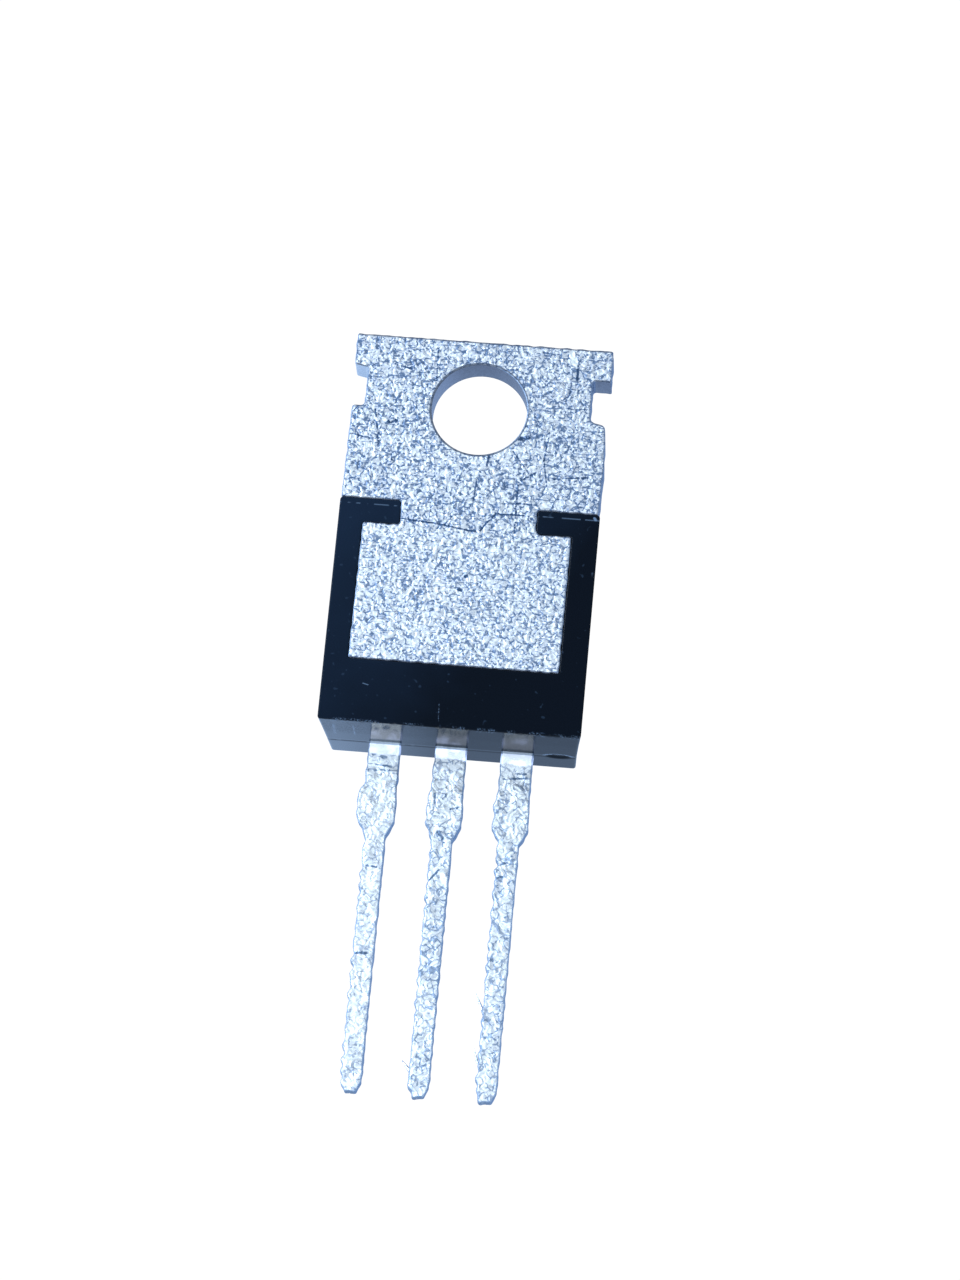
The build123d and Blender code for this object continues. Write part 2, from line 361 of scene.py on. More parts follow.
def tinned_copper(name, marks):
    """Copper strip dipped in tin: wormy crests, rubs and marks; the stamped walls stay smooth. Painted
    shade darkens faces toward +X and the outer edges, painted light brightens the walls, and a painted
    highlight glows on each lead by the body.
    """
    material, g, sockets, place = new_material(name)
    axes = g.node("ShaderNodeSeparateXYZ", None, place)
    across, along = axes[0], axes[1]
    lead = along.step(BODY_END + 0.1, BODY_END)
    left_lead = lead * across.step(-1.4, -1.6)
    crests = tin_crests(g, place)
    tone = g.noise(place, 1.6, 2.0, 0.6, (4, 1, 0))
    grain = g.noise(place, 0.1, 1.0, 0.5, (1, 8, 2))
    pool = g.noise(place, 0.35, 1.0, 0.5, (3, 3, 8))
    seams = cracks(g, place, 0.3, 0.12).math("MAXIMUM", dark_curls(g, place))
    # The tin's grain is painted into its colour, partly its own grain and partly painted reflection:
    # bright worms and crests, dark seams and curls in the grooves. The rubs are wear.
    strip = 0.595 + bright_worms(g, place) * 0.36 + (crests - 0.5) * 0.16 + (grain - 0.5) * 0.16
    strip = strip - seams.math("MAXIMUM", fine_scratches(g, place)) * 0.42
    # The pad is a little lighter than the tab
    strip = strip + along.step(SHOULDER + 0.28, SHOULDER - 0.42) * 0.06
    # The wide part of a lead has softer and paler pools of tin than the narrow part
    wide = along.step(NARROW, WIDE)
    dipped = 0.72 + wide * 0.2 + (pool - 0.5) * (0.6 - wide * 0.3) + (grain - 0.5) * 0.12
    dipped = dipped - cracks(g, place, 0.26, 0.13) * (0.45 + wide * 0.12)
    dipped = dipped + left_lead * (0.12 - wide * 0.05)
    light = strip + (dipped - strip) * lead + (tone - 0.5) * (0.2 + lead * 0.15)
    broken = g.noise(place, 0.25, 0.0, 0.5, (1, 3, 5)).step(0.28, 0.45)
    for start, end, width, depth in marks:
        light = light - line_mask(g, place, start, end, width) * broken * depth
    rim = g.node("ShaderNodeAttribute", {"attribute_name": "rim"})["Fac"]
    tin = g.node(
        "ShaderNodeValToRGB",
        {
            "stops": (
                (0.0, (0.05, 0.09, 0.17)),
                (0.25, (0.2, 0.27, 0.4)),
                (0.5, (0.58, 0.6, 0.66)),
                (0.75, (0.86, 0.86, 0.86)),
                (1.0, (0.97, 0.98, 0.98)),
            )
        },
        light,
    )[0]
    tin = g.mix(lead * 0.8, tin, g.node("ShaderNodeGamma", None, tin, 0.6)[0])
    # Smooth zone just clear of the body painted bright white as a painted highlight, with a painted
    # shade seam between them
    ragged = along + (pool - 0.5) * 0.15
    bright_end = BODY_END - BRIGHT_LONG
    exit_highlight = ragged.step(bright_end - BRIGHT_FADE, bright_end) * lead
    shade = along.step(BODY_END - 0.11, BODY_END - 0.07) * lead
    tin = g.mix(exit_highlight, tin, (0.97, 0.95, 0.97))
    tin = g.mix(shade, tin, (0.55, 0.6, 0.68))
    # Painted shade: surfaces that face +X, away from the key lamp, are darker; the hole's wall is not
    facing = g.node("ShaderNodeSeparateXYZ", None, g.node("ShaderNodeNewGeometry")["Normal"])
    radius = g.node("ShaderNodeVectorMath", {"operation": "LENGTH"}, g.stretch(place, (1, 1, 0)))
    east = facing[0].step(0.15, 0.4) * radius["Value"].step(HOLE_RADIUS + 0.07, HOLE_RADIUS + 0.17)
    tin = g.mix(east * 0.85, tin, g.mix(lead, (0.16, 0.23, 0.36), (0.2, 0.3, 0.46)))
    # Painted shade: a thin dark line at each outer edge, where the rolled edge mirrors dark, narrower
    # round the hole, broader along the tab's free edge; it is paler on the leads and on edges that face
    # -X, toward the lamp
    west = facing[0].step(-0.1, -0.35)
    top_edge = along.step(TAB_TOP - 0.12, TAB_TOP - 0.08)
    round_hole = radius["Value"].step(HOLE_RADIUS + 0.37, HOLE_RADIUS + 0.27)
    painted_edge_line = (rim - round_hole * 0.035).step(0.08, 0.06)
    outline = painted_edge_line.math("MAXIMUM", top_edge) * (1 - east)
    edge_shade_colour = g.mix(west.math("MAXIMUM", lead), (0.015, 0.025, 0.05), (0.1, 0.16, 0.26))
    tin = g.mix(outline * 0.9, tin, edge_shade_colour)
    # Stamped walls with painted light: lighter where they face +X, and palest, fading to the right, in
    # the notches where they face the lead end
    wall = rim.step(0.006, 0.001) * (1 - east) * (1 - lead)
    painted_wall_light = facing[1].step(-0.3, -0.7) * across.math("ABSOLUTE").step(3.3, 3.9)
    painted_wall_light = painted_wall_light * (0.55 - across * 0.11)
    smooth = g.mix(facing[0].step(0.3, 0.95), (0.3, 0.31, 0.36), (0.42, 0.44, 0.52))
    smooth = g.mix(painted_wall_light, smooth, (0.85, 0.87, 0.9))
    feed(g, sockets["Base Color"], g.mix(wall, tin, smooth))
    feed(g, sockets["Roughness"], 0.5 - crests * 0.08 + exit_highlight * 0.2)
    painted_highlight = exit_highlight * (1 - shade)
    dull = painted_highlight.math("MAXIMUM", outline * (1 - wall))
    near_body = ragged.step(BODY_END - 1.5, BODY_END - 0.5) * lead
    dull = dull.math("MAXIMUM", near_body * 0.6)
    feed(g, sockets["Metallic"], 1 - dull * 0.85)
    # Painted highlight: the bright zone by the body glows pale blue, less on the left lead, though it is
    # no lamp
    glow = painted_highlight * (0.12 + pool.step(0.4, 0.6) * 0.5) * (1 - left_lead * 0.45)
    feed(g, sockets["Emission Color"], g.mix(glow, (0, 0, 0), (0.95, 1.2, 2.0)))
    sockets["Emission Strength"].default_value = 1.0
    height = (crests * 0.6 + grain * 0.4) * (1 - wall) * (1 - exit_highlight)
    bump = g.node("ShaderNodeBump", None, Strength=0.25, Distance=0.02 * MM, Height=height)[0]
    feed(g, sockets["Normal"], bump)
    return material


def moulding_epoxy():
    """Black epoxy: a faint grain on the back, glossy on the lead-end wall."""
    material, g, sockets, place = new_material("moulding_epoxy")
    axes = g.node("ShaderNodeSeparateXYZ", None, place)
    x, y, z = axes[0], axes[1], axes[2]
    grain = g.noise(place, 0.06, 2.0, 0.6)
    cloud = g.noise(place, 2.2, 2.0, 0.5, (3, 3, 1))
    specks = g.noise(place, 0.16, 0.0, 0.5, (5, 2, 2)).step(0.78, 0.86)
    # The epoxy is lighter towards the left, a painted light from the key lamp on the left, and a little
    # lighter towards the tab end; the cloud is its own uneven tone.
    share = (x * -0.1 + 0.85 + y * 0.07 + (cloud - 0.5) * 0.6).clip()
    colour = g.mix(share, (0.0015, 0.003, 0.006), (0.005, 0.011, 0.023))
    colour = g.mix(specks * 0.35, colour, (0.02, 0.035, 0.06))
    # Thin flash line across both corner blocks, painted pale as a painted highlight on its ridge, a chip
    # at its right end, scrapes and wear on an edge
    broken = g.noise(g.stretch(place, (1, 0.1, 0.1)), 0.3, 0.0, 0.5, (4, 0, 0)).step(0.42, 0.5)
    flash_highlight = (y - FLASH).math("ABSOLUTE").step(0.035, 0.01) * x.math("ABSOLUTE").step(2.75, 2.85)
    chip = line_mask(g, place, (4.78, -4.08), (4.83, -4.14), 0.07)
    scrapes = chip + line_mask(g, place, (-3.4, -11.35), (-3.2, -11.4), 0.03) * 0.6
    dotted = line_mask(g, place, (-0.45, -11.95), (-0.42, -12.6), 0.03) * grain.step(0.5, 0.55)
    scrapes = scrapes + dotted * 0.4
    scrapes = scrapes + line_mask(g, place, (4.88, -6.3), (4.9, -6.9), 0.05) * broken * 0.7
    back = z.step(-0.25, -0.2)
    ragged = y.step(BODY_END + 0.12, BODY_END + 0.04) * grain.step(0.5, 0.6)
    scrapes = scrapes + ragged * g.noise(place, 0.4, 0.0, 0.5, (8, 1, 1)).step(0.45, 0.6) * 0.6
    colour = g.mix((flash_highlight * broken * 0.45 + scrapes) * back, colour, (0.09, 0.13, 0.19))
    # Lead-end wall: the parting line with painted shade in its groove, the oval scar with a painted
    # highlight on its lip, and streaks at the left
    end_wall = y.step(BODY_END + 0.2, BODY_END + 0.12) * z.step(-0.03, -0.06)
    parting = (z - PARTING).math("ABSOLUTE").step(0.1, 0.04)
    shift = (-SCAR_X / SCAR_LONG, 0, -PARTING / SCAR_HIGH)
    from_scar = g.stretch(place, (1 / SCAR_LONG, 0, 1 / SCAR_HIGH), shift)
    oval = g.node("ShaderNodeVectorMath", {"operation": "LENGTH"}, from_scar)["Value"]
    lip_highlight = (oval - 1.1).math("ABSOLUTE").step(0.3, 0.1) * end_wall * (z - PARTING).step(-0.05, 0.1)
    sunk = oval.step(1.0, 0.7) * end_wall
    streaks = line_mask(g, place, (-4.45, -13.0), (-4.4, -12.8), 0.07)
    streaks = (streaks + line_mask(g, place, (-3.68, -13.0), (-3.65, -12.8), 0.05)) * z.step(-2.0, -1.6)
    streaks = streaks * z.step(-0.4, -0.9) * end_wall * grain.step(0.4, 0.55)
    colour = g.mix(lip_highlight * 0.6 + streaks * 0.5, colour, (0.2, 0.27, 0.38))
    # Painted shade: the parting line's groove is painted near black where this noise lets it show
    parting_shade_share = g.noise(g.stretch(place, (1, 0.1, 0.1)), 0.35, 1.0, 0.5, (9, 0, 0)).step(0.35, 0.45)
    colour = g.mix(end_wall * parting * parting_shade_share, colour, (0.0005, 0.0008, 0.0015))
    feed(g, sockets["Base Color"], colour)
    feed(g, sockets["Roughness"], 0.25 - end_wall * 0.18 + (grain - 0.5) * 0.1)
    gloss = end_wall * (0.02 - x * 0.22 + (cloud - 0.5) * 0.2).clip() * (1 - parting * parting_shade_share * 0.9)
    gloss = gloss * (1 - grain.step(0.4, 0.6) * z.step(-1.9, -1.4) * 0.3)
    feed(g, sockets["Coat Weight"], gloss * (1 - sunk))
    sockets["Coat Roughness"].default_value = 0.05
    bump = g.node("ShaderNodeBump", None, Strength=0.3, Distance=0.01 * MM, Height=grain)[0]
    feed(g, sockets["Normal"], bump)
    sockets["IOR"].default_value = 1.2
    sockets["Coat IOR"].default_value = 1.9
    return material


def plain_finish(name, base, metallic, roughness, size, spread):
    """A buried piece's finish: its own colour with a slight mottle."""
    material, g, sockets, place = new_material(name)
    mottle = g.noise(place, size, 2.0, 0.6)
    dark = tuple(c * (1 - spread) for c in base)
    feed(g, sockets["Base Color"], g.mix(mottle, dark, base))
    feed(g, sockets["Roughness"], roughness + (mottle - 0.5) * 0.2)
    sockets["Metallic"].default_value = metallic
    return material


# ---------------------------------------------------------------- outlines


def rounded(corners, step=EDGE_STEP):
    """Closed outline through corners (x, y, radius), as points step apart."""
    points = []
    count = len(corners)
    for i, (x, y, radius) in enumerate(corners):
        here = np.array((x, y))
        before = np.array(corners[i - 1][:2]) - here
        after = np.array(corners[(i + 1) % count][:2]) - here
        before, after = before / np.linalg.norm(before), after / np.linalg.norm(after)
        half = math.acos(np.clip(before @ after, -1, 1)) / 2
        reach = radius / math.tan(half)
        for t in np.linspace(0, 1, 6):
            points.append(here + before * reach * (1 - t) ** 2 + after * reach * t**2)
    return resampled(np.array(points), step)


def resampled(points, step):
    """The same closed outline with its points evenly spaced, about step apart."""
    closed = np.vstack([points, points[:1]])
    lengths = np.r_[0, np.cumsum(np.hypot(*np.diff(closed, axis=0).T))]
    count = int(lengths[-1] / step)
    at = np.arange(count) * lengths[-1] / count
    return np.c_[np.interp(at, lengths, closed[:, 0]), np.interp(at, lengths, closed[:, 1])]


def inward(outline):
    """Unit normals that point into the material, for an outline with it on the left."""
    along = np.roll(outline, -1, 0) - np.roll(outline, 1, 0)
    along /= np.hypot(*along.T)[:, None]
    return np.c_[-along[:, 1], along[:, 0]]


def wandering(outline, reach, seed, waves=(0.4, 1.6), where=None):
    """The outline pushed in and out by smooth random waves, wave lengths in mm."""
    rng = np.random.default_rng(seed)
    count = len(outline)
    length = np.hypot(*np.diff(outline, axis=0).T).sum()
    turn = np.linspace(0, 2 * math.pi, count, endpoint=False)
    low, high = int(length / waves[1]), int(length / waves[0])
    push = np.zeros(count)
    for wave in range(low, high):
        push += rng.normal() * np.sin(wave * turn + rng.uniform(0, 2 * math.pi))
    push *= reach / max(push.std(), 1e-9)
    if where is not None:
        push *= where(outline)
    return outline + inward(outline) * push[:, None]


def inside(points, contours):
    """Which points lie in the first contour and outside the others, by the even-odd rule."""
    odd = np.zeros(len(points), bool)
    px, py = points.T
    for contour in contours:
        for (ax, ay), (bx, by) in zip(contour, np.roll(contour, -1, 0)):
            crosses = (ay > py) != (by > py)
            if ay != by:
                odd ^= crosses & (px < (bx - ax) * (py - ay) / (by - ay) + ax)
    return odd


# ---------------------------------------------------------------- meshes


def face_fill(rings, pitch):
    """Triangles between ring contours. Returns the added inner points, the faces (ring points are
    numbered first) and the distance of each added point to the nearest ring point."""
    fixed = np.vstack(rings)
    low, high = fixed.min(0), fixed.max(0)
    rows = np.arange(low[1], high[1], pitch * math.sqrt(3) / 2)
    columns = np.arange(low[0], high[0], pitch)
    grid = np.array([(x + pitch / 2 * (i % 2), y) for i, y in enumerate(rows) for x in columns])
    grid = grid[inside(grid, rings)]
    tree = kdtree.KDTree(len(fixed))
    for i, (x, y) in enumerate(fixed):
        tree.insert((x, y, 0), i)
    tree.balance()
    gap = np.array([tree.find((x, y, 0))[2] for x, y in grid])
    spacing = np.hypot(*(rings[0][1] - rings[0][0]))
    keep = gap > 0.6 * max(min(spacing, pitch), pitch * 0.5)
    grid, gap = grid[keep], gap[keep]
    edges, first = [], 0
    for ring in rings:
        count = len(ring)
        edges += [(first + i, first + (i + 1) % count) for i in range(count)]
        first += count
    points = np.vstack([fixed, grid])
    made = delaunay_2d_cdt([Vector(p) for p in points], edges, [], 0, 1e-7, True)
    nearest = [tree.find((p.x, p.y, 0))[1] for p in made[0]]
    source = np.array([ids[0] if ids else near for ids, near in zip(made[3], nearest)])
    faces = source[np.array(made[2])]
    kept = inside(points[faces].mean(1), rings)
    return grid, faces[kept].tolist(), gap


def new_piece(name, points, faces):
    """A smooth-shaded object in the scene. Its points are given in millimetres."""
    mesh = bpy.data.meshes.new(name)
    mesh.from_pydata((points * MM).tolist(), [], faces)
    mesh.shade_smooth()
    made = bpy.data.objects.new(name, mesh)
    bpy.context.scene.collection.objects.link(made)
    return made


def solid(name, contours, profile, pitch_top, pitch_bottom, shape=None):
    """Closed mesh of stacked contours. profile lists (inset, height) from the top ring to the bottom
    one; shape(x, y, z) may move every point. The point value rim is the distance to the edge."""
    points, faces, rims = [], [], []
    tops, bottoms, top_ids, bottom_ids = [], [], [], []
    for contour in contours:
        normals, count = inward(contour), len(contour)
        start = len(points)
        for inset, height in profile:
            ring = contour + normals * inset
            points += [(x, y, height) for x, y in ring]
            rims += [inset] * count
        for level in range(len(profile) - 1):
            a = start + level * count
            for i in range(count):
                j = (i + 1) % count
                faces.append((a + i, a + count + i, a + count + j, a + j))
        tops.append(contour + normals * profile[0][0])
        bottoms.append(contour + normals * profile[-1][0])
        top_ids += range(start, start + count)
        last = start + (len(profile) - 1) * count
        bottom_ids += range(last, last + count)
    caps = (
        (tops, top_ids, profile[0], pitch_top, 1),
        (bottoms, bottom_ids, profile[-1], pitch_bottom, -1),
    )
    for rings, ids, (inset, height), pitch, turn in caps:
        grid, fill, gap = face_fill(rings, pitch)
        first = len(points)
        points += [(x, y, height) for x, y in grid]
        rims += list(gap + inset)
        number = ids + list(range(first, first + len(grid)))
        faces += [tuple(number[i] for i in face[::turn]) for face in fill]
    place = np.array(points)
    if shape is not None:
        place = shape(place)
    made = new_piece(name, place, faces)
    rim = made.data.attributes.new("rim", "FLOAT", "POINT")
    rim.data.foreach_set("value", np.array(rims, np.float32))
    return made


def rolled_profile(top, bottom, roll, under):
    """Rings from the top face over a rolled edge, down the wall and round the lower edge."""
    turns = [math.radians(a) for a in (0, 30, 60, 90)]
    upper = [(roll * (1 - math.sin(a)), top - roll * (1 - math.cos(a))) for a in turns]
    lower = [(under * (1 - math.cos(a)), bottom + under * (1 - math.sin(a))) for a in turns]
    return upper + lower


# ---------------------------------------------------------------- tin relief as geometry


def tin_relief():
    """Geometry nodes that raise the tin crests on a piece, always below its outer surface."""
    tree = bpy.data.node_groups.new("tin_relief", "GeometryNodeTree")
    face = tree.interface
    face.new_socket("Geometry", in_out="INPUT", socket_type="NodeSocketGeometry")
    for label, value in (("Crest Height", 0.012), ("Lump Height", 0.0), ("Lump Size", 0.5)):
        socket = face.new_socket(label, in_out="INPUT", socket_type="NodeSocketFloat")
        socket.default_value = value
    face.new_socket("Finish", in_out="INPUT", socket_type="NodeSocketMaterial")
    face.new_socket("Geometry", in_out="OUTPUT", socket_type="NodeSocketGeometry")
    g = Graph(tree)
    given = g.node("NodeGroupInput")
    place = g.stretch(g.node("GeometryNodeInputPosition")[0], (1 / MM,) * 3)
    rim = g.node("GeometryNodeInputNamedAttribute", {"data_type": "FLOAT"}, "rim")[0]
    crests = tin_crests(g, place) * rim.step(0.0, 0.1)
    lumps = g.node(
        "ShaderNodeTexNoise", None, Vector=place, Scale=1 / given["Lump Size"], Detail=0.6
    )[0]
    depth = (1 - crests) * given["Crest Height"] + (1 - lumps.step(0.25, 0.75)) * given["Lump Height"]
    normal = g.node("GeometryNodeInputNormal")[0]
    push = g.node("ShaderNodeVectorMath", {"operation": "SCALE"}, normal, Scale=depth * -MM)[0]
    moved = g.node("GeometryNodeSetPosition", None, given["Geometry"], Offset=push)[0]
    real = g.node("GeometryNodeRealizeInstances", None, moved)[0]
    done = g.node("GeometryNodeSetMaterial", None, real, Material=given["Finish"])[0]
    out = g.node("NodeGroupOutput")
    tree.links.new(done.socket, out.made.inputs[0])
    return tree


def grown(piece, tree, **inputs):
    """The piece with a node tree run on it, as a plain mesh of the same name."""
    modifier = piece.modifiers.new("grow", "NODES")
    modifier.node_group = tree
    for item in tree.interface.items_tree:
        if item.in_out == "INPUT" and item.name.replace(" ", "_") in inputs:
            modifier[item.identifier] = inputs[item.name.replace(" ", "_")]
    bpy.context.view_layer.update()
    seen = piece.evaluated_get(bpy.context.evaluated_depsgraph_get())
    mesh = bpy.data.meshes.new_from_object(seen)
    piece.modifiers.clear()
    piece.data = mesh
    mesh.name = piece.name
    return piece


def fuse(piece, other):
    """Adds another object's mesh to a piece and removes the other object."""
    joined = bmesh.new()
    joined.from_mesh(piece.data)
    joined.from_mesh(other.data)
    joined.to_mesh(piece.data)
    joined.free()
    bpy.data.objects.remove(other)


# ---------------------------------------------------------------- the pieces


def hole_outline():
    count = int(2 * math.pi * HOLE_RADIUS / EDGE_STEP)
    turn = -np.arange(count) * 2 * math.pi / count
    return HOLE_RADIUS * np.c_[np.cos(turn), np.sin(turn)]


def tab_outline():
    """Tab, neck and pad, with the material on the left. The notches differ as the stamping left them."""
    half, top = 4.985, TAB_TOP - 0.012
    return rounded(
        (
            (half, top, 0.1),
            (-half, top, 0.1),
            (-half, 1.5, 0.1),
            (-4.45, 1.42, 0.16),
            (-4.45, -0.12, 0.16),
            (-4.93, -0.17, 0.14),
            (-4.97, BODY_TOP, 0.04),
            *PAD,
            (4.93, BODY_TOP, 0.04),
            (half, -2.0, 0.6),
            (4.93, -0.7, 0.4),
            (4.9, -0.3, 0.22),
            (4.28, -0.15, 0.34),
            (4.28, 1.5, 0.14),
            (half, 1.5, 0.06),
        )
    )


def make_tab(tin, relief):
    outline = wandering(tab_outline(), reach=0.008, seed=3)
    profile = rolled_profile(0.0, -TAB_THICK, roll=0.05, under=0.03)
    rings = [outline, hole_outline()]
    piece = solid("tab_plate", rings, profile, pitch_top=FACE_STEP, pitch_bottom=0.4)
    return grown(piece, relief, Crest_Height=0.012, Finish=tin)


def lead_outline(centre, stub, post, seed):
    """One lead down to its tip. Its left edge carries the stub and lumps of tin. post is how far its
    inner end reaches to the left and right, and how far up it starts and stops."""
    left, right = centre - LEAD_HALF, centre + LEAD_HALF
    shaft, tip = TIP + 0.47, TIP + 0.04
    post_left, post_right, post_low, post_high = post
    outline = rounded(
        (
            (right, post_low, 0.12),
            (post_right, post_low, 0.12),
            (post_right, post_high, 0.2),
            (post_left, post_high, 0.2),
            (post_left, post_low, 0.12),
            (left, post_low, 0.12),
            (left, -14.5, 0.3),
            (left - stub, -14.95, 0.2),
            (left - stub * 0.85, -15.9, 0.25),
            (centre - 0.46, -16.5, 0.3),
            (centre - 0.44, shaft, 0.2),
            (centre - 0.24, tip, 0.12),
            (centre + 0.22, tip, 0.12),
            (centre + 0.4, shaft, 0.2),
            (centre + 0.4, -16.55, 0.3),
            (right + 0.04, -15.95, 0.25),
            (right + 0.04, -15.2, 0.2),
            (right, -14.8, 0.2),
        ),
        step=0.045,
    )

    def tinned_side(points):
        """Full lumps on the left of the free part, slight ones on its right, none inside the body."""
        free = np.clip((BODY_END - 0.3 - points[:, 1]) / 0.5, 0, 1)
        return free * np.where(points[:, 0] < centre, 1.0, 0.3)

    return wandering(outline, 0.022, seed, (0.4, 1.2), tinned_side)


def raised(place, height):
    """The points moved up, each by its own height."""
    return np.c_[place[:, :2], place[:, 2] + height]


def at_exit(place):
    """A lead's top rises a little where it meets the body."""
    near = np.interp(place[:, 1], (BODY_END - 0.33, BODY_END, BODY_END + 0.3), (0, 0.03, 0))
    top = np.clip((place[:, 2] - LEAD_UNDER) / (LEAD_TOP - LEAD_UNDER), 0, 1)
    return raised(place, near * top)


def bent_to_pad(place):
    """The middle lead rises inside the body to the front side of the pad."""
    return raised(at_exit(place), np.interp(place[:, 1], (-12.1, -10.95), (0, 1.7)))


def make_lead(name, centre, stub, post, seed, tin, relief, shape=at_exit):
    profile = rolled_profile(LEAD_TOP - 0.003, LEAD_UNDER + 0.003, roll=0.055, under=0.055)
    outline = lead_outline(centre, stub, post, seed)
    piece = solid(name, [outline], profile, pitch_top=FACE_STEP, pitch_bottom=0.09, shape=shape)
    return grown(piece, relief, Crest_Height=0.008, Lump_Height=0.03, Lump_Size=0.5, Finish=tin)


# Rim value of the points of tin, which puts them partly in the painted shade line at the edges
WHISKER_RIM = 0.072


def add_whisker(piece, start, end, width):
    """A thin point of tin left on a lead's edge."""
    start, end = (Vector((*p, (LEAD_TOP + LEAD_UNDER) / 2)) * MM for p in (start, end))
    turn = (end - start).to_track_quat("Z", "Y").to_matrix().to_4x4()
    joined = bmesh.new()
    joined.from_mesh(piece.data)
    made = bmesh.ops.create_cone(
        joined,
        cap_ends=True,
        segments=10,
        radius1=width / 2 * MM,
        radius2=width / 12 * MM,
        depth=(end - start).length,
        matrix=Matrix.Translation((start + end) / 2) @ turn,
    )
    rim = joined.verts.layers.float["rim"]
    for vertex in made["verts"]:
        vertex[rim] = WHISKER_RIM
    joined.to_mesh(piece.data)
    joined.free()


def cut_between(outline, start, end):
    """The stretch of a closed outline from the point nearest start to the one nearest end."""
    first = np.hypot(*(outline - start).T).argmin()
    turned = np.roll(outline, -first, 0)
    last = np.hypot(*(turned - end).T).argmin()
    return turned[: last + 1]


# Distance of points along the body's outline, and of its rings down the wall
BODY_STEP, RING_STEP = 0.07, 0.08
# Roundings of the body at its back and front, and how far sides and lead end lean in at the front
BACK_ROLL, FRONT_ROLL = 0.02, 0.1
SIDE_DRAFT, END_DRAFT = 0.26, 0.09
# Depth of the chips along the back edge of the lead-end wall, and how far down they reach
CHIP_DEEP, CHIP_REACH = 0.035, 0.12
# Half width and depth of the parting line, and the scar's slope and depth
GROOVE_HALF, GROOVE_DEEP = 0.035, 0.03
SCAR_SLOPE, SCAR_DEEP = 0.15, 0.06


def body_levels():
    """Rings of the body from the back down: height, inset, and the draft of the sides and the end."""
    back_edge = [
        (-BACK_ROLL * (1 - math.cos(a)), BACK_ROLL * (1 - math.sin(a))) for a in (0.0, 0.8, 1.57)
    ]
    front = BODY_LOW.z + FRONT_ROLL
    heights = np.arange(-0.09, front + 0.02, -RING_STEP)
    drafts = (
        (0, 0, 0),
        (-TAB_THICK, 0.1, 0.0),
        (PARTING, 0.19, 0.01),
        (front, SIDE_DRAFT, END_DRAFT),
    )
    at = [-d[0] for d in drafts]
    levels = [(height, inset, 0.0, 0.0) for height, inset in back_edge]
    for height in heights:
        side = float(np.interp(-height, at, [d[1] for d in drafts]))
        end = float(np.interp(-height, at, [d[2] for d in drafts]))
        levels.append((float(height), 0.0, side, end))
    for turn in (0.0, 0.5, 1.0, 1.57):
        inset = FRONT_ROLL * (1 - math.cos(turn))
        height = BODY_LOW.z + FRONT_ROLL * (1 - math.sin(turn))
        levels.append((height, 0.0, SIDE_DRAFT + inset, END_DRAFT + inset))
    return levels


def recess_corners():
    """The pad's corners in the epoxy, PAD_GAP clear of the metal, from the neck's right to its left.
    They are kept to whole hundredths."""
    foot = SHOULDER - 1
    corners = [
        (round(x + math.copysign(PAD_GAP, x), 2), round(y - PAD_GAP, 2) if y < foot else y, radius)
        for x, y, radius in reversed(PAD)
    ]
    for i in (0, -1):
        corners[i] = (*corners[i][:2], NECK_RADIUS)
    return corners


